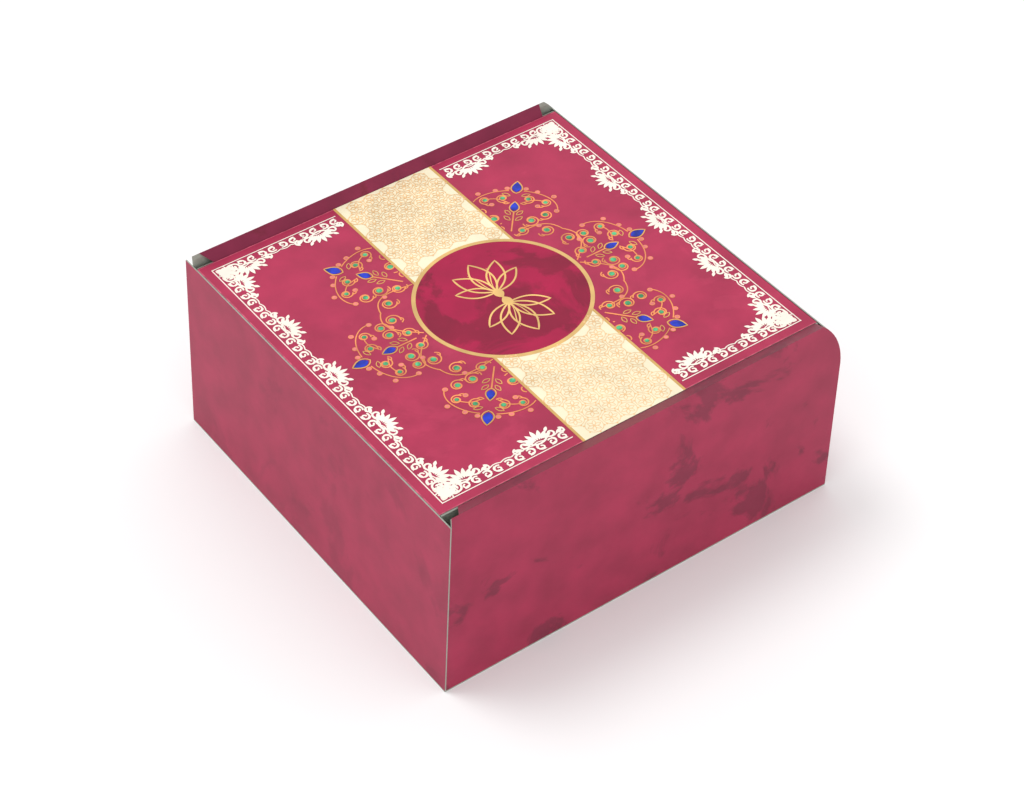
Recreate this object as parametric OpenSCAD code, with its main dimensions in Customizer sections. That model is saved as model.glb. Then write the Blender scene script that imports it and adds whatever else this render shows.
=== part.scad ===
// Square folded-board sweet box: a tray with hollow rolled side walls and a
// hinged lid with a tuck flap and two side flaps. The lid is drawn closed.
// +X runs from the hinge wall to the tuck wall, +Y from the near side wall to
// the far one, and the origin is under the middle of the box on its underside.

/* [Board] */
// Thickness of the grey-backed board
board_t = 0.6; // [0.4:0.1:0.8]

/* [Tray] */
// Length of the base from the hinge wall to the tuck wall
base_l = 211; // [150:1:320]
// Width of the base between the outer faces of the side walls
base_w = 211; // [150:1:320]
// Height of the closed lid's printed face
lid_h = 94.5; // [70:0.5:140]
// How far the side walls rise above the lid
side_rise = 5.5; // [3:0.5:8]
// How far the hinge wall leans in from the base to its crease
hinge_lean = 7; // [0:0.5:12]
// How far the tuck wall leans out below its curled top
tuck_flare = 3; // [0:0.5:6]
// Radius of the tuck wall's curled top and of the side walls' rounded corners
tuck_curl_r = 36; // [34:1:60]
// Height over which the tuck wall curls in to meet the lid
tuck_curl_h = 21; // [12:1:24]
// How far the near side wall leans in at its top fold
near_lean = 0; // [0:0.2:5.6]
// How far the far side wall leans in at its top fold
far_lean = 5.6; // [0:0.2:5.6]

/* [Hollow side walls] */
// Distance of the lid's long edges from the sides of the base
lid_margin = 9; // [9:0.5:16]
// Start of the rolled top fold, measured from the hinge crease
fold_start = 4.3; // [3:0.1:6]
// Start of the shoulder's lower crease, measured from the hinge crease
shoulder_start = 9.5; // [7:0.5:14]
// Distance that the near shoulder stops short of the lid's front edge
near_shoulder_stop = 1; // [0.5:0.5:14]
// Distance that the far shoulder stops short of the lid's front edge
far_shoulder_stop = 7; // [0.5:0.5:14]
// Gap at the ends of the inner walls
inner_gap = 0.5; // [0.3:0.1:1]
// Length of the corner tabs inside the hollow walls
tab_l = 45; // [20:1:60]
// Drop of the slanted edges of a corner tab
tab_taper = 8; // [2:1:12]
// Distance of the hinge tabs' tops below the lid
tab_top_gap = 3; // [2:0.5:10]
// Distance of the tabs' lower edges above the base
tab_foot_gap = 0.5; // [0.3:0.1:2]

/* [Floor locks] */
// Length of a lug under an inner wall
lug_l = 34; // [15:1:45]
// Distance of a lug's middle from the middle of the base
lug_offset = 52; // [28:1:60]
// Clearance round a lug in its slot
slot_gap = 0.2; // [0.1:0.05:0.4]

/* [Lid] */
// Gap between the moving lid and the tray
swing_gap = 0.3; // [0.3:0.05:0.6]
// Gap along a crease between two panels
crease_gap = 0.1; // [0.05:0.05:0.3]
// Depth of the tuck flap
tuck_depth = 22; // [12:1:26]
// Inward tilt of the tuck flap from upright, in degrees
tuck_tilt = 4; // [4:0.5:10]
// Distance of the tuck flap's ends from the lid's long edges
tuck_inset = 3; // [2:0.5:20]
// Radius of the tuck flap's corners
tuck_corner_r = 11; // [4:1:12]
// Depth of the side flaps
side_flap_depth = 40; // [20:1:60]
// Start of the side flaps, measured from the hinge crease
side_flap_start = 10; // [6:0.5:30]
// Distance that the side flaps stop short of the lid's front edge
side_flap_stop = 27; // [27:1:60]
// Radius of the side flaps' corners
side_flap_r = 9; // [3:1:10]

/* [Hidden] */
$fn = 48;

crimson = [0.70, 0.17, 0.33];
deep_crimson = [0.58, 0.14, 0.27];
grey_board = [0.60, 0.60, 0.57];

// Places along X
x_hinge_foot = -(base_l + tuck_flare) / 2;
x_tuck_foot = x_hinge_foot + base_l;
x_tuck_widest = x_tuck_foot + tuck_flare;
x_crease = x_hinge_foot + hinge_lean;
z_curl = lid_h - tuck_curl_h;
z_top = lid_h + side_rise;
curl_steps = 10;

// Outer face of the hinge wall and of the tuck wall at height z
function hinge_x(z) = x_hinge_foot + hinge_lean * min(z, lid_h) / lid_h;
function tuck_x(z) = z < z_curl
    ? x_tuck_foot + tuck_flare * z / z_curl
    : x_tuck_widest - tuck_curl_r + sqrt(pow(tuck_curl_r, 2) - pow(z - z_curl, 2));
// Heights at which the curled top of the tuck wall is drawn, up to z_end
function curl_heights(z_end) =
    [for (i = [0 : curl_steps]) z_curl + (z_end - z_curl) * i / curl_steps];

x_lid_end = tuck_x(lid_h) - board_t - swing_gap;

// A side wall's section, with y counted inwards from the side of the base
y_inner = lid_margin - swing_gap;
function cross2(a, b) = a[0] * b[1] - a[1] * b[0];
function meet(p, a, q, b) = p + a * cross2(q - p, b) / cross2(a, b);
function outer_y(z, lean) = lean * z / z_top;
function fold_top(lean) = [lean, z_top];
shoulder_foot = [y_inner, lid_h];
function shoulder_dir(lean) = shoulder_foot - fold_top(lean);
function under_point(lean) = fold_top(lean)
    + [shoulder_dir(lean)[1], -shoulder_dir(lean)[0]] * board_t / norm(shoulder_dir(lean));
function fold_under(lean) =
    meet(under_point(lean), shoulder_dir(lean), [board_t, 0], [lean, z_top]);
function foot_under(lean) =
    meet(under_point(lean), shoulder_dir(lean), [y_inner - board_t, 0], [0, 1]);

// Draws a section of a side wall, given in inward y and z, along the whole box
module along_box(section) {
    translate([x_hinge_foot, -base_w / 2, 0])
        rotate([90, 0, 90])
            linear_extrude(height = base_l + tuck_flare)
                polygon(section);
}

// Draws an outline in x and z from the near side to a depth inwards
module across_side(depth) {
    translate([0, -base_w / 2 + depth, 0])
        rotate([90, 0, 0])
            linear_extrude(height = depth)
                children();
}

// Shapes are drawn for the near side, and turned over for the far one
module on_far_side() {
    mirror([0, 1, 0])
        children();
}

module lug_places() {
    for (side = [-1, 1])
        translate([(x_hinge_foot + x_tuck_foot) / 2 + side * lug_offset, 0])
            children();
}

module base_slots() {
    lug_places()
        translate([-lug_l / 2 - slot_gap, -base_w / 2 + y_inner - board_t - slot_gap, -board_t])
            cube([lug_l + 2 * slot_gap, board_t + 2 * slot_gap, 3 * board_t]);
}

module base_panel() {
    color(deep_crimson)
        difference() {
            translate([x_hinge_foot, -base_w / 2, 0])
                cube([base_l, base_w, board_t]);
            base_slots();
            on_far_side()
                base_slots();
        }
}

module hinge_wall() {
    color(crimson)
        translate([0, base_w / 2, 0])
            rotate([90, 0, 0])
                linear_extrude(height = base_w)
                    polygon([
                        [hinge_x(board_t), board_t],
                        [hinge_x(board_t) + board_t, board_t],
                        [x_crease + board_t, lid_h],
                        [x_crease, lid_h]
                    ]);
}

module tuck_wall() {
    heights = concat([board_t], curl_heights(lid_h));
    outer = [for (z = heights) [tuck_x(z), z]];
    inner = [for (i = [len(heights) - 1 : -1 : 0]) [tuck_x(heights[i]) - board_t, heights[i]]];
    near_foot = -base_w / 2 + board_t + outer_y(board_t, near_lean);
    near_head = -base_w / 2 + board_t + outer_y(lid_h, near_lean);
    far_foot = base_w / 2 - board_t - outer_y(board_t, far_lean);
    far_head = base_w / 2 - board_t - outer_y(lid_h, far_lean);
    color(crimson)
        intersection() {
            translate([0, base_w / 2, 0])
                rotate([90, 0, 0])
                    linear_extrude(height = base_w)
                        polygon(concat(outer, inner));
            translate([x_tuck_foot - tuck_curl_r, 0, 0])
                rotate([90, 0, 90])
                    linear_extrude(height = 2 * tuck_curl_r)
                        polygon([
                            [near_foot, board_t], [far_foot, board_t],
                            [far_head, lid_h], [near_head, lid_h]
                        ]);
        }
}

// Outer panel of a side wall, with its corners rounded to the tuck wall's curl
module outer_wall(lean) {
    right_edge = [for (z = concat([board_t], curl_heights(z_top))) [tuck_x(z), z]];
    intersection() {
        across_side(lid_margin)
            polygon(concat(right_edge, [
                [x_crease + board_t, z_top],
                [x_crease + board_t, lid_h],
                [hinge_x(board_t) + board_t, board_t]
            ]));
        along_box([
            [outer_y(board_t, lean), board_t],
            [outer_y(board_t, lean) + board_t, board_t],
            fold_under(lean),
            fold_top(lean)
        ]);
    }
}

// Slanted panel between a side wall's top fold and the lid's long edge
module shoulder(lean, stop) {
    x_end = x_lid_end - stop;
    intersection() {
        across_side(lid_margin)
            polygon([
                [x_crease + shoulder_start, lid_h - 2 * board_t],
                [x_crease + shoulder_start, lid_h],
                [x_crease + fold_start, z_top],
                [min(x_end, tuck_x(z_top)), z_top],
                [x_end, lid_h],
                [x_end, lid_h - 2 * board_t]
            ]);
        along_box([fold_top(lean), shoulder_foot, foot_under(lean), fold_under(lean)]);
    }
}

// Inner panel of a side wall, locked into the base by two lugs
module inner_wall(lean) {
    right_edge = [for (z = concat([board_t], curl_heights(lid_h)))
        [tuck_x(z) - board_t - inner_gap, z]];
    intersection() {
        across_side(lid_margin)
            polygon(concat(right_edge, [
                [x_crease + board_t + inner_gap, lid_h],
                [hinge_x(board_t) + board_t + inner_gap, board_t]
            ]));
        along_box([
            shoulder_foot, [y_inner, board_t],
            [y_inner - board_t, board_t], foot_under(lean)
        ]);
    }
    lug_places()
        translate([-lug_l / 2, -base_w / 2 + y_inner - board_t, 0])
            cube([lug_l, board_t, board_t]);
}

// Sheet that lies inside a side wall's outer panel, between two heights
module tab_sheet(lean, z_low, z_high) {
    along_box([
        [outer_y(z_low, lean) + board_t, z_low],
        [outer_y(z_low, lean) + 2 * board_t, z_low],
        [outer_y(z_high, lean) + 2 * board_t, z_high],
        [outer_y(z_high, lean) + board_t, z_high]
    ]);
}

module hinge_tab(lean) {
    z_low = board_t + tab_foot_gap;
    z_high = lid_h - tab_top_gap;
    intersection() {
        across_side(lid_margin)
            polygon([
                [hinge_x(z_low) + board_t, z_low],
                [hinge_x(z_low) + board_t + tab_l, z_low + tab_taper],
                [hinge_x(z_high) + board_t + tab_l, z_high - tab_taper],
                [hinge_x(z_high) + board_t, z_high]
            ]);
        tab_sheet(lean, z_low, z_high);
    }
}

module tuck_tab(lean) {
    z_low = board_t + tab_foot_gap;
    intersection() {
        across_side(lid_margin)
            polygon([
                [tuck_x(z_low) - board_t, z_low],
                [tuck_x(z_curl) - board_t, z_curl],
                [tuck_x(z_curl) - board_t - tab_l, z_curl - tab_taper],
                [tuck_x(z_low) - board_t - tab_l, z_low + tab_taper]
            ]);
        tab_sheet(lean, z_low, z_curl);
    }
}

module near_outer_wall() {
    color(crimson)
        outer_wall(near_lean);
}

module far_outer_wall() {
    color(crimson)
        on_far_side()
            outer_wall(far_lean);
}

module near_shoulder() {
    color(deep_crimson)
        shoulder(near_lean, near_shoulder_stop);
}

module far_shoulder() {
    color(deep_crimson)
        on_far_side()
            shoulder(far_lean, far_shoulder_stop);
}

module near_inner_wall() {
    color(deep_crimson)
        inner_wall(near_lean);
}

module far_inner_wall() {
    color(deep_crimson)
        on_far_side()
            inner_wall(far_lean);
}

module near_hinge_tab() {
    color(grey_board)
        hinge_tab(near_lean);
}

module far_hinge_tab() {
    color(grey_board)
        on_far_side()
            hinge_tab(far_lean);
}

module near_tuck_tab() {
    color(grey_board)
        tuck_tab(near_lean);
}

module far_tuck_tab() {
    color(grey_board)
        on_far_side()
            tuck_tab(far_lean);
}

module lid_panel() {
    x_start = x_crease + board_t + crease_gap;
    color(crimson)
        translate([x_start, -base_w / 2 + lid_margin, lid_h - board_t])
            cube([x_lid_end - x_start, base_w - 2 * lid_margin, board_t]);
}

// Flat flap that hangs from y = 0, with its two lower corners rounded
module flap_outline(length, depth, corner_r) {
    translate([0, -depth + corner_r])
        square([length, depth - corner_r]);
    translate([corner_r, -depth])
        square([length - 2 * corner_r, corner_r]);
    for (x = [corner_r, length - corner_r])
        translate([x, -depth + corner_r])
            circle(r = corner_r);
}

// The flap hangs from the inner corner of the fold and tilts about it
module lid_tuck_flap() {
    flap_w = base_w - 2 * (lid_margin + tuck_inset);
    color(deep_crimson)
        translate([x_lid_end - board_t, -flap_w / 2, lid_h - board_t])
            rotate([0, tuck_tilt, 0])
                translate([0, 0, -crease_gap])
                    rotate([90, 0, 90])
                        linear_extrude(height = board_t)
                            flap_outline(flap_w, tuck_depth, tuck_corner_r);
}

module side_flap() {
    x_start = x_crease + side_flap_start;
    color(deep_crimson)
        translate([x_start, -base_w / 2 + lid_margin + board_t, lid_h - board_t - crease_gap])
            rotate([90, 0, 0])
                linear_extrude(height = board_t)
                    flap_outline(x_lid_end - side_flap_stop - x_start, side_flap_depth, side_flap_r);
}

module near_lid_flap() {
    side_flap();
}

module far_lid_flap() {
    on_far_side()
        side_flap();
}

base_panel();
hinge_wall();
tuck_wall();
near_outer_wall();
near_shoulder();
near_inner_wall();
far_outer_wall();
far_shoulder();
far_inner_wall();
near_hinge_tab();
far_hinge_tab();
near_tuck_tab();
far_tuck_tab();
lid_panel();
lid_tuck_flap();
near_lid_flap();
far_lid_flap();
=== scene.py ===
import math

import bmesh
import bpy
from mathutils import Matrix, Vector


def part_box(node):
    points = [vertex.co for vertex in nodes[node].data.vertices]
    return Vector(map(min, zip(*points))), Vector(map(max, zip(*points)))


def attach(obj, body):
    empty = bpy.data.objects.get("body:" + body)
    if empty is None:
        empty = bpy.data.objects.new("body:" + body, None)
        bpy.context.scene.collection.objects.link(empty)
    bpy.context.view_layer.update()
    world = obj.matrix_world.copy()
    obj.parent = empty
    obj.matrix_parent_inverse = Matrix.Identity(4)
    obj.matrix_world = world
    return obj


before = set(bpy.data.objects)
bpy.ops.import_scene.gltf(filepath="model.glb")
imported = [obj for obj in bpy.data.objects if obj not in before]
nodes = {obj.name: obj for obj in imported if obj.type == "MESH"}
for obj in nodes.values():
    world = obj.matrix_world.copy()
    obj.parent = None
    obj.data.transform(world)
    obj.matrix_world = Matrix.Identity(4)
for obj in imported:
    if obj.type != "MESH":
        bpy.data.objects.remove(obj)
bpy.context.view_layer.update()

MM = 0.001
scene = bpy.context.scene

# Camera: its place, and its turn as a rotation vector in radians
eye = Vector((-486.877, -715.466, 827.698)) * MM
turn = Vector((2.2178, -0.7194, 0.2905))
right_down_ahead = Matrix.Rotation(turn.length, 3, turn)
camera_axes = Matrix((right_down_ahead[0], -right_down_ahead[1], -right_down_ahead[2]))
camera = bpy.data.objects.new("camera", bpy.data.cameras.new("camera"))
camera.data.sensor_width = 36
camera.data.lens = 90.219
camera.data.clip_end = 50
camera.matrix_world = Matrix.Translation(eye) @ camera_axes.transposed().to_4x4()
scene.collection.objects.link(camera)
scene.camera = camera
scene.render.resolution_x = 1024
scene.render.resolution_y = 796
scene.view_settings.view_transform = "Standard"

# Sizes of the lid and its ornament, in millimetres in the row frame
lid_low, lid_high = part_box("lid_panel")
LID_Z = lid_high.z / MM
LID_LEFT, LID_RIGHT = lid_low.x / MM, lid_high.x / MM
LID_NEAR, LID_FAR = lid_low.y / MM, lid_high.y / MM
CENTRE = Vector((-0.2, -1.0))
RING_R = 40.0
RING_LINE_R = RING_R - 0.4
BAND_HALF = 26.5
STROKE_RISE = 2e-4

# Inks and board, as plain colours
IVORY = (0.93, 0.84, 0.74)
GOLD = (0.62, 0.38, 0.12)
LID_RED = (0.40, 0.022, 0.075)
# The walls' crimson is the lid's crimson darkened: painted shade for the faces that turn away
# from the top light
SHADED_WALL_RED = (0.35, 0.022, 0.068)
# Dark red: the print's dark patches, and on the near shoulder also painted shade
DARK_RED = (0.19, 0.014, 0.040)
GREY_BOARD = (0.34, 0.36, 0.31)


def noise(n, link, place, scale, detail=2.0):
    node = n.new("ShaderNodeTexNoise")
    node.inputs["Scale"].default_value = scale
    node.inputs["Detail"].default_value = detail
    link(place.outputs["Object"], node.inputs["Vector"])
    return node


def stretched(n, link, source, darkest, lightest, start=0.0, end=1.0):
    """Stretches a value between start and end to lie between darkest and lightest."""
    node = n.new("ShaderNodeMapRange")
    for place, amount in enumerate((start, end, darkest, lightest), 1):
        node.inputs[place].default_value = amount
    link(source, node.inputs[0])
    return node.outputs[0]


def scaled(n, link, colour, factor):
    """A colour, or another node's colour, made lighter and darker by a factor."""
    node = n.new("ShaderNodeVectorMath")
    node.operation = "SCALE"
    if isinstance(colour, tuple):
        node.inputs[0].default_value = colour
    else:
        link(colour, node.inputs[0])
    link(factor, node.inputs["Scale"])
    return node.outputs[0]


def mixed(n, link, share, first, second):
    node = n.new("ShaderNodeMix")
    node.data_type = "RGBA"
    link(share, node.inputs[0])
    link(first, node.inputs[6])
    link(second, node.inputs[7])
    return node.outputs[2]


def clouded_print_group():
    """Printed ink with cloudy darker patches and a fine grain, as a colour."""
    group = bpy.data.node_groups.new("clouded_print", "ShaderNodeTree")
    for name, kind, default in (
        ("Ink", "NodeSocketColor", (0.4, 0.02, 0.07, 1)),
        ("Patch", "NodeSocketColor", (0.2, 0.01, 0.04, 1)),
        ("Patch amount", "NodeSocketFloat", 0.8),
        ("Patch size", "NodeSocketFloat", 22.0),
        ("Threshold", "NodeSocketFloat", 0.55),
    ):
        socket = group.interface.new_socket(name=name, in_out="INPUT", socket_type=kind)
        socket.default_value = default
    group.interface.new_socket(name="Colour", in_out="OUTPUT", socket_type="NodeSocketColor")
    n, link = group.nodes, group.links.new
    start, end = n.new("NodeGroupInput"), n.new("NodeGroupOutput")
    place = n.new("ShaderNodeTexCoord")
    cloud = noise(n, link, place, 22, 6)
    cloud.inputs["Roughness"].default_value = 0.62
    cloud.inputs["Distortion"].default_value = 0.6
    link(start.outputs["Patch size"], cloud.inputs["Scale"])
    over = n.new("ShaderNodeMath")
    over.operation = "SUBTRACT"
    link(cloud.outputs["Fac"], over.inputs[0])
    link(start.outputs["Threshold"], over.inputs[1])
    edge = n.new("ShaderNodeMath")
    edge.operation = "MULTIPLY"
    edge.use_clamp = True
    edge.inputs[1].default_value = 22
    link(over.outputs[0], edge.inputs[0])
    amount = n.new("ShaderNodeMath")
    amount.operation = "MULTIPLY"
    link(edge.outputs[0], amount.inputs[0])
    link(start.outputs["Patch amount"], amount.inputs[1])
    ink = mixed(n, link, amount.outputs[0], start.outputs["Ink"], start.outputs["Patch"])
    soft = noise(n, link, place, 60, 5)
    tone = stretched(n, link, soft.outputs["Fac"], 0.84, 1.12, 0.3, 0.7)
    link(scaled(n, link, ink, tone), end.inputs[0])
    return group


CLOUDED = clouded_print_group()


def coated(name, rough):
    """A new material, with its shader, for a surface of that roughness."""
    m = bpy.data.materials.new(name)
    m.use_nodes = True
    skin = m.node_tree.nodes["Principled BSDF"]
    skin.inputs["Roughness"].default_value = rough
    skin.inputs["Specular IOR Level"].default_value = 0.3
    return m, skin


def board(name, ink, patch, side=None, amount=0.7, size=22.0, threshold=0.56):
    """Carton board printed on the face that looks along side, and grey on the rest."""
    m, skin = coated(name, 0.5)
    n, link = m.node_tree.nodes, m.node_tree.links.new
    printing = n.new("ShaderNodeGroup")
    printing.node_tree = CLOUDED
    printing.inputs["Ink"].default_value = (*ink, 1)
    printing.inputs["Patch"].default_value = (*patch, 1)
    printing.inputs["Patch amount"].default_value = amount
    printing.inputs["Patch size"].default_value = size
    printing.inputs["Threshold"].default_value = threshold
    if side is None:
        link(printing.outputs[0], skin.inputs["Base Color"])
        return m
    place = n.new("ShaderNodeTexCoord")
    facing = n.new("ShaderNodeVectorMath")
    facing.operation = "DOT_PRODUCT"
    facing.inputs[1].default_value = side
    link(place.outputs["Normal"], facing.inputs[0])
    printed = n.new("ShaderNodeMath")
    printed.operation = "GREATER_THAN"
    printed.inputs[1].default_value = 0.3
    link(facing.outputs["Value"], printed.inputs[0])
    fibre = noise(n, link, place, 700, 4)
    speck = stretched(n, link, fibre.outputs["Fac"], 0.75, 1.2)
    grey = scaled(n, link, GREY_BOARD, speck)
    both = mixed(n, link, printed.outputs[0], grey, printing.outputs[0])
    link(both, skin.inputs["Base Color"])
    return m


def foil(name, colour, rough=0.5, metal=0.0, vary=0.2, grain=90.0):
    """Flat printed ink or foil with a slight change of tone."""
    m, skin = coated(name, rough)
    n, link = m.node_tree.nodes, m.node_tree.links.new
    skin.inputs["Metallic"].default_value = metal
    mottle = noise(n, link, n.new("ShaderNodeTexCoord"), grain)
    tone = stretched(n, link, mottle.outputs["Fac"], 1 - vary, 1 + vary, 0.3, 0.7)
    link(scaled(n, link, colour, tone), skin.inputs["Base Color"])
    return m


# Board panels: the printed side of each looks along the vector given
PANELS = {
    "base_panel": ((0, 0, -1), SHADED_WALL_RED, DARK_RED, 0.5),
    "hinge_wall": ((-1, 0, 0), SHADED_WALL_RED, (0.27, 0.018, 0.055), 0.6),
    "tuck_wall": ((1, 0, 0), SHADED_WALL_RED, DARK_RED, 0.6),
    "near_outer_wall": ((0, -1, 0), SHADED_WALL_RED, (0.20, 0.017, 0.046), 0.85),
    "far_outer_wall": ((0, 1, 0), SHADED_WALL_RED, DARK_RED, 0.7),
    # The two shoulders get darker inks than the walls: painted shade of the recess between the
    # lid and the wall tops
    "near_shoulder": ((0, 0, 1), DARK_RED, (0.12, 0.01, 0.03), 0.6),
    "far_shoulder": ((0, -1, 1), (0.24, 0.018, 0.062), DARK_RED, 0.8),
    "near_inner_wall": ((0, 1, 0), SHADED_WALL_RED, DARK_RED, 0.5),
    "far_inner_wall": ((0, -1, 0), SHADED_WALL_RED, DARK_RED, 0.5),
    "near_hinge_tab": ((0, -1, 0), SHADED_WALL_RED, DARK_RED, 0.5),
    "far_hinge_tab": ((0, 1, 0), SHADED_WALL_RED, DARK_RED, 0.5),
    "near_tuck_tab": ((0, -1, 0), SHADED_WALL_RED, DARK_RED, 0.5),
    "far_tuck_tab": ((0, 1, 0), SHADED_WALL_RED, DARK_RED, 0.5),
    "lid_panel": ((0, 0, 1), LID_RED, (0.46, 0.03, 0.09), 0.6),
    "lid_tuck_flap": ((1, 0, 0), SHADED_WALL_RED, DARK_RED, 0.5),
    "near_lid_flap": ((0, -1, 0), SHADED_WALL_RED, DARK_RED, 0.5),
    "far_lid_flap": ((0, 1, 0), SHADED_WALL_RED, DARK_RED, 0.5),
}
for name, (side, ink, patch, amount) in PANELS.items():
    node = nodes[name]
    node.data.materials.clear()
    node.data.materials.append(board(name + "_board", ink, patch, side, amount))


class Drawing:
    """Flat ornament on the lid, drawn in millimetres at a height above it."""

    def __init__(self, name, height):
        self.name, self.height = name, height
        self.points, self.faces, self.step = [], [], 0

    def level(self):
        """Each stroke lies a hair higher than the last, so that crossings stay clean."""
        self.step += 1
        return LID_Z + self.height + self.step * STROKE_RISE

    def stroke(self, line, width, closed=False, taper=False, keep=None):
        z, count = self.level(), len(line)
        rims = []
        for i, p in enumerate(line):
            a = line[(i - 1) % count] if closed or i else p
            b = line[(i + 1) % count] if closed or i < count - 1 else p
            run = Vector((b[0] - a[0], b[1] - a[1]))
            if run.length < 1e-9:
                run = Vector((1, 0))
            run.normalize()
            w = width / 2
            if taper:
                w *= 0.35 + 0.65 * math.sin(math.pi * i / (count - 1))
            x, y = run.y * w, run.x * w
            rims += [(p[0] - x, p[1] + y, z), (p[0] + x, p[1] - y, z)]
        base = len(self.points)
        self.points += rims
        for i in range(count if closed else count - 1):
            j = (i + 1) % count
            if keep and not (keep(line[i]) and keep(line[j])):
                continue
            self.faces.append((base + 2 * i, base + 2 * i + 1, base + 2 * j + 1, base + 2 * j))

    def patch(self, outline):
        z, base = self.level(), len(self.points)
        self.points += [(x, y, z) for x, y in outline]
        self.faces.append(tuple(range(base, base + len(outline))))

    def make(self, material, thickness):
        mesh = bpy.data.meshes.new(self.name)
        mesh.from_pydata([Vector(p) * MM for p in self.points], [], self.faces)
        mesh.validate()
        used = {v for f in mesh.polygons for v in f.vertices}
        bm = bmesh.new()
        bm.from_mesh(mesh)
        bm.verts.ensure_lookup_table()
        spare = [v for v in bm.verts if v.index not in used]
        bmesh.ops.delete(bm, geom=spare, context="VERTS")
        for f in bm.faces:
            f.normal_update()
            if f.normal.z < 0:
                f.normal_flip()
        bm.to_mesh(mesh)
        bm.free()
        mesh.materials.append(material)
        obj = bpy.data.objects.new(self.name, mesh)
        scene.collection.objects.link(obj)
        solid = obj.modifiers.new("thickness", "SOLIDIFY")
        solid.thickness = thickness * MM
        solid.offset = -1
        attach(obj, "lid")
        return obj


def turned(p, angle, at=(0, 0)):
    c, s = math.cos(angle), math.sin(angle)
    return (at[0] + c * p[0] - s * p[1], at[1] + s * p[0] + c * p[1])


def circle(at, r, count=20):
    return [turned((r, 0), 2 * math.pi * i / count, at) for i in range(count)]


def spiral(at, r, start, turns, way=1, shrink=0.25, count=26):
    """A curl that starts at radius r and winds in to a share of it."""
    out = []
    for i in range(count):
        t = i / (count - 1)
        a = start + way * 2 * math.pi * turns * t
        out.append(turned((r * (1 - (1 - shrink) * t), 0), a, at))
    return out


def petal(at, angle, length, width, count=14, tip=1.0):
    """Closed leaf with a pointed tip, from its foot at 'at'."""
    side = []
    for i in range(count + 1):
        t = i / count
        side.append((length * t, width / 2 * math.sin(math.pi * t ** tip) ** 0.9))
    other = [(x, -y) for x, y in side[-2:0:-1]]
    return [turned(p, angle, at) for p in side + other]


# Cream band with gold edges
band = Drawing("cream_band", 0.03)
band.patch([
    (-BAND_HALF, LID_NEAR), (BAND_HALF, LID_NEAR),
    (BAND_HALF, LID_FAR), (-BAND_HALF, LID_FAR),
])
band.make(foil("cream_ink", (0.86, 0.78, 0.56), 0.5, 0, 0.05), 0.02)

edges = Drawing("band_edges", 0.06)
for x in (-BAND_HALF, BAND_HALF):
    edges.stroke([(x, LID_NEAR), (x, LID_FAR)], 1.3)
edges.make(foil("gold_edge_ink", GOLD, 0.4, 0, 0.15), 0.03)

lattice = Drawing("band_lattice", 0.05)
STEP = 8.8
for row in range(-12, 13):
    for col in range(-3, 4):
        at = (col * STEP + (STEP / 2 if row % 2 else 0), row * STEP * 0.866)
        far = math.hypot(at[0] - CENTRE.x, at[1] - CENTRE.y)
        if abs(at[0]) > BAND_HALF - 3.6 or far < RING_R + 3 or abs(at[1]) > LID_FAR - 4:
            continue
        for k in range(6):
            lattice.stroke(petal(at, k * math.pi / 3, 3.3, 1.5, 6), 0.3, closed=True)
            lattice.patch(circle(turned((4.4, 0), k * math.pi / 3 + math.pi / 6, at), 0.45, 8))
        lattice.stroke(circle(at, 4.0, 18), 0.28, closed=True)
lattice.make(foil("peach_ink", (0.84, 0.54, 0.27), 0.5, 0, 0.12), 0.02)

# Medallion with its gold ring and lotus
disc = Drawing("medallion", 0.08)
disc.patch(circle(CENTRE, RING_LINE_R, 96))
medallion_ink = board(
    "medallion_ink", (0.37, 0.0, 0.050), (0.20, 0.0, 0.025), None, 0.75, 24.0, 0.5
)
disc.make(medallion_ink, 0.05)
ring = Drawing("medallion_ring", 0.11)
ring.stroke(circle(CENTRE, RING_LINE_R, 120), 1.9, closed=True)
ring.make(foil("gold_ring_ink", (0.66, 0.42, 0.15), 0.4, 0, 0.15), 0.08)

lotus = Drawing("lotus", 0.12)
for way in (1, -1):
    up = way * math.pi / 2
    foot = (CENTRE.x, CENTRE.y + way * 4.5)
    for spread, length, width in ((0, 22.5, 9.6), (32, 21.5, 8.4), (-32, 21.5, 8.4),
                                  (62, 18.5, 6.6), (-62, 18.5, 6.6)):
        a = up + math.radians(spread)
        lotus.stroke(petal(foot, a, length, width), 0.85, closed=True)
    for spread in (17, -17):
        a = up + math.radians(spread)
        vein = [turned((t, 0.6 * math.sin(t / 3)), a, foot) for t in range(3, 18)]
        lotus.stroke(vein, 0.55, taper=True)
    lotus.patch(petal(turned((-4.8, 0), up, foot), up, 7.0, 4.6))
lotus.make(foil("lotus_gold", (0.72, 0.46, 0.16), 0.35, 0.1, 0.3, 60), 0.04)

# Jewelled filigree round the medallion
wires = Drawing("filigree_wires", 0.05)
leaves = Drawing("blue_drops", 0.14)
frames = Drawing("drop_frames", 0.11)
green = Drawing("green_gems", 0.14)
pink = Drawing("pink_beads", 0.12)


def off_band(p):
    """True clear of the cream band and of the medallion."""
    off_centre = math.hypot(p[0] - CENTRE.x, p[1] - CENTRE.y)
    return abs(p[0]) > BAND_HALF + 0.9 and off_centre > RING_R


def jewel(p, r=1.35):
    if off_band(p):
        green.patch(circle(p, r, 16))
        wires.stroke(circle(p, r + 0.35, 18), 0.45, closed=True)


def bead(p, r=0.95):
    if off_band(p):
        pink.patch(circle(p, r, 12))
        wires.stroke(circle(p, r + 0.15, 14), 0.35, closed=True)


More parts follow.
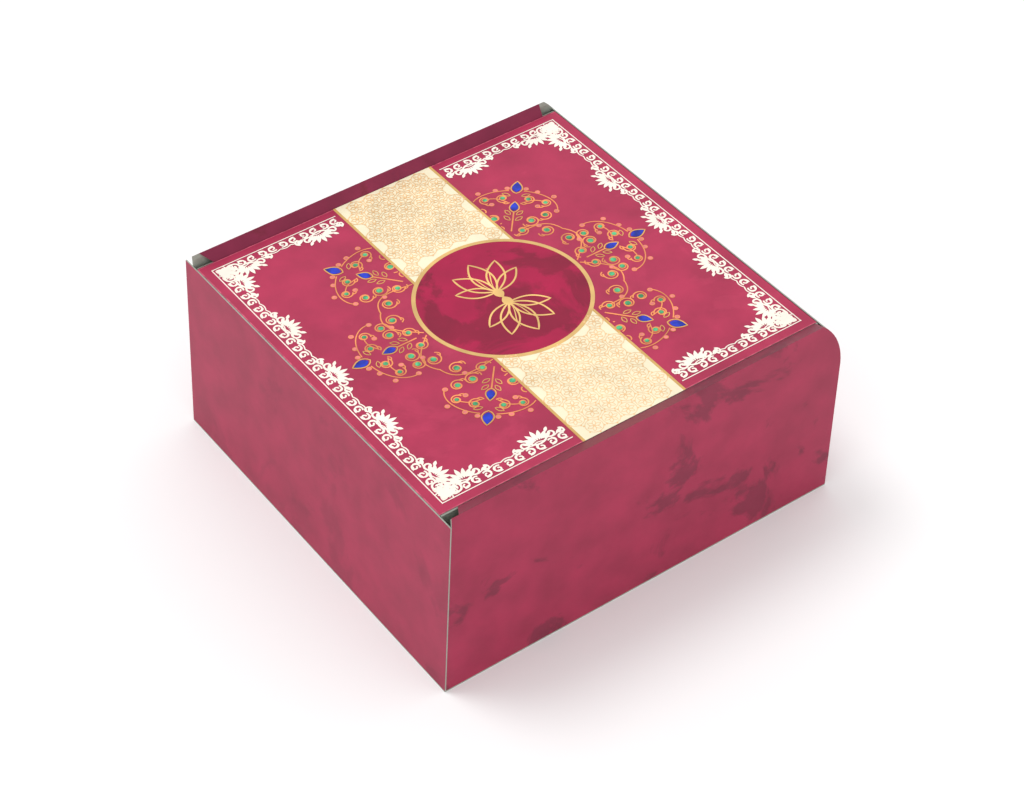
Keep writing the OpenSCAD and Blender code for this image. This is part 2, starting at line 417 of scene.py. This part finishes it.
def spray(angle, reach):
    """One arm of the filigree: a stem with two drops and paired curls that carry gems."""
    def put(u, v):
        return turned((u, v), angle, CENTRE)

    wires.stroke([put(u, 0) for u in (RING_R, 46, 52, reach - 18.5)], 0.7, keep=off_band)
    for at, size in ((reach - 18, 6.2), (reach - 4, 7.4)):
        frame_line = petal(put(at - 1, 0), angle, size + 1.6, size * 0.72, 12, 0.8)
        frames.stroke(frame_line, 0.55, closed=True)
        leaves.patch(petal(put(at, 0), angle, size, size * 0.58, 12, 0.8))
    for side in (1, -1):
        for u, v, r in (
            (47, 5.0, 3.4), (54.5, 8.5, 4.0), (reach - 9, 6.0, 3.3),
            (reach - 20, 14.5, 3.6), (48, 16.0, 3.9), (reach - 11, 14.0, 3.0),
        ):
            at = put(u, side * v)
            curl = spiral(at, r, angle + math.pi + side * 0.6, 1.15, -side, 0.3)
            wires.stroke(curl, 0.65, keep=off_band)
            jewel(at, 0.34 * r)
            tail = []
            for t in (0.0, 0.5, 1.0, 1.5, 2.0):
                along = u - r * math.cos(t) - 2.2 * t
                across = v - 0.5 - r * 0.25 * math.sin(t) - 1.1 * t
                tail.append(put(along, side * across))
            wires.stroke(tail, 0.6, keep=off_band)
        for u, v in (
            (reach - 1.5, 4.4), (reach - 3.5, 9.8), (reach - 6.5, 17.6),
            (reach - 17, 19.6), (51, 12.2), (reach - 14, 10.6),
        ):
            bead(put(u, side * v))
        for u, v, lean in ((reach - 21, 1.4, 0.7), (reach - 25, 1.2, 0.8), (reach - 7, 2.6, 1.2)):
            bud = petal(put(u, side * v), angle + side * lean, 4.2, 1.9, 8)
            frames.stroke(bud, 0.4, closed=True)
        link = [
            put(reach - 12 + 2.4 * math.sin(t), side * (3.2 + 4.2 * t))
            for t in (0, 0.5, 1, 1.5, 2, 2.5)
        ]
        wires.stroke(link, 0.55, keep=off_band)
        arch = [
            put(reach - 3 - 13 * (1 - math.cos(t)), side * (1.0 + 19 * math.sin(t)))
            for t in [i * math.pi / 24 for i in range(1, 13)]
        ]
        wires.stroke(arch, 0.55, keep=off_band)
        base_curve = [
            put(RING_R + 1.5 + 11 * math.sin(t), side * (1 + 9.5 * t))
            for t in [i * math.pi / 20 for i in range(16)]
        ]
        wires.stroke(base_curve, 0.6, keep=off_band)


for degrees, reach in ((0, 75), (180, 75), (50, 79), (130, 79), (230, 79), (310, 79)):
    spray(math.radians(degrees), reach)
wires.make(foil("filigree_gold", (0.76, 0.27, 0.09), 0.45, 0, 0.25), 0.03)
frames.make(foil("drop_gold", (0.66, 0.36, 0.10), 0.4, 0, 0.2), 0.05)
leaves.make(foil("blue_jewel", (0.01, 0.03, 0.42), 0.15, 0, 0.5, 260), 0.06)
green.make(foil("green_jewel", (0.07, 0.40, 0.18), 0.2, 0, 0.5, 300), 0.06)
pink.make(foil("pink_bead", (0.75, 0.20, 0.18), 0.3, 0, 0.2, 300), 0.05)

# Lace border
lace = Drawing("lace_border", 0.05)


def rail(start, along, inward, length, palms):
    """A run of lace: a scrolled band at the outer edge with palmettes that point inward."""
    def put(s, t):
        x = start[0] + along[0] * s + inward[0] * t
        y = start[1] + along[1] * s + inward[1] * t
        return (x, y)

    def leaf(s, t, lean, size, width):
        a, b = put(s, t), put(s + math.sin(lean), t + math.cos(lean))
        lace.patch(petal(a, math.atan2(b[1] - a[1], b[0] - a[0]), size, width, 8))

    def curl(s, t, r, start_angle, way, turns=1.1, width=0.75):
        winding = spiral((0, 0), r, start_angle, turns, way, 0.3, 18)
        lace.stroke([put(s + x, t + y) for x, y in winding], width)

    count = round(length / 5.4)
    pitch = length / count
    lace.stroke([put(0, 0.3), put(length, 0.3)], 0.5)
    for i in range(count):
        s, way = (i + 0.5) * pitch, 1 if i % 2 else -1
        curl(s, 3.1, 2.15, math.pi / 2 - way * 0.7, way, 1.15, 0.8)
        leaf(s + way * 1.4, 1.4, -way * 1.25, 3.6, 1.3)
        leaf(s - way * 2.2, 3.0, way * 0.5, 2.9, 1.2)
        scallop = [
            put(s + pitch * (k / 8 - 0.5), 5.6 + 0.75 * math.sin(math.pi * k / 8))
            for k in range(9)
        ]
        lace.stroke(scallop, 0.55)
    for mid in palms:
        for k in (-3, -2, -1, 0, 1, 2, 3):
            leaf(mid + 0.75 * k, 7.0, 0.44 * k, 6.6 - 0.55 * abs(k), 2.0)
        cup = [
            put(mid + 3.9 * math.cos(a), 7.2 + 2.2 * math.sin(a))
            for a in [math.pi + k * math.pi / 8 for k in range(9)]
        ]
        lace.stroke(cup, 0.9)
        for side in (1, -1):
            curl(mid + side * 6.6, 7.8, 2.7, math.pi / 2, side, 1.2, 0.95)
            curl(mid + side * 11.0, 6.6, 1.9, math.pi / 2, -side, 1.1, 0.8)
            leaf(mid + side * 8.4, 6.2, side * 1.2, 4.4, 1.7)
            leaf(mid + side * 5.2, 9.8, side * 0.8, 3.2, 1.5)


def corner(at, sx, sy):
    """Heart-shaped corner piece."""
    out = math.atan2(sy, sx)
    for k in (-1, 0, 1):
        lace.patch(petal(turned((3.0, 0), out, at), out + 0.5 * k, 9.5 - 1.5 * abs(k), 3.0, 10))
    for k in (-1, 1):
        lace.stroke(spiral(turned((9.5, k * 3.6), out, at), 2.9, out, 1.25, k, 0.25), 0.95)
        lace.patch(petal(turned((12.0, k * 2.2), out, at), out + 0.9 * k, 4.4, 1.9, 8))


EDGE = 4.6
PALM_IN = 15
PALM_STEP = 38
left, right = LID_LEFT + EDGE, LID_RIGHT - EDGE
near, far = LID_NEAR + EDGE, LID_FAR - EDGE
tall = far - near
short = -BAND_HALF - 2.4 - left
for x, inward in ((left, 1), (right, -1)):
    middle = tall / 2
    palms = [PALM_IN, middle - PALM_STEP, middle, middle + PALM_STEP, tall - PALM_IN]
    rail((x, near), (0, 1), (inward, 0), tall, palms)
for y, inward in ((near, 1), (far, -1)):
    rail((left, y), (1, 0), (0, inward), short, [PALM_IN, PALM_IN + PALM_STEP])
    rail((right, y), (-1, 0), (0, inward), short, [PALM_IN, PALM_IN + PALM_STEP])
for x, sx in ((left, 1), (right, -1)):
    for y, sy in ((near, 1), (far, -1)):
        corner((x, y), sx, sy)
lace.make(foil("lace_ink", IVORY, 0.5, 0, 0.06), 0.03)

# Lighter pink lines along the lid's folds
fold_lines = Drawing("pale_fold_lines", 0.02)
fold_lines.stroke([(LID_LEFT + 0.35, LID_NEAR), (LID_LEFT + 0.35, LID_FAR)], 0.55)
for y in (LID_NEAR + 0.3, LID_FAR - 0.3):
    fold_lines.stroke([(LID_LEFT, y), (LID_RIGHT, y)], 0.45)
fold_lines.make(foil("pale_fold_ink", (0.52, 0.09, 0.15), 0.6, 0, 0.3, 400), 0.01)

# Floor and light
bpy.ops.mesh.primitive_plane_add(size=30)
floor = bpy.context.object
floor.name = "floor"
floor.data.materials.append(foil("floor_white", (0.92, 0.92, 0.92), 1.0, 0, 0.0))

world = bpy.data.worlds.new("world")
scene.world = world
world.use_nodes = True
sky = world.node_tree.nodes["Background"]
sky.inputs[0].default_value = (1, 1, 1, 1)
sky.inputs[1].default_value = 1.0
sun = bpy.data.objects.new("key", bpy.data.lights.new("key", "SUN"))
sun.data.energy = 0.8
sun.data.angle = math.radians(24)
light_way = Vector((0.22, -0.42, -1.0))
sun.rotation_euler = light_way.to_track_quat("-Z", "Y").to_euler()
scene.collection.objects.link(sun)

bpy.context.view_layer.update()
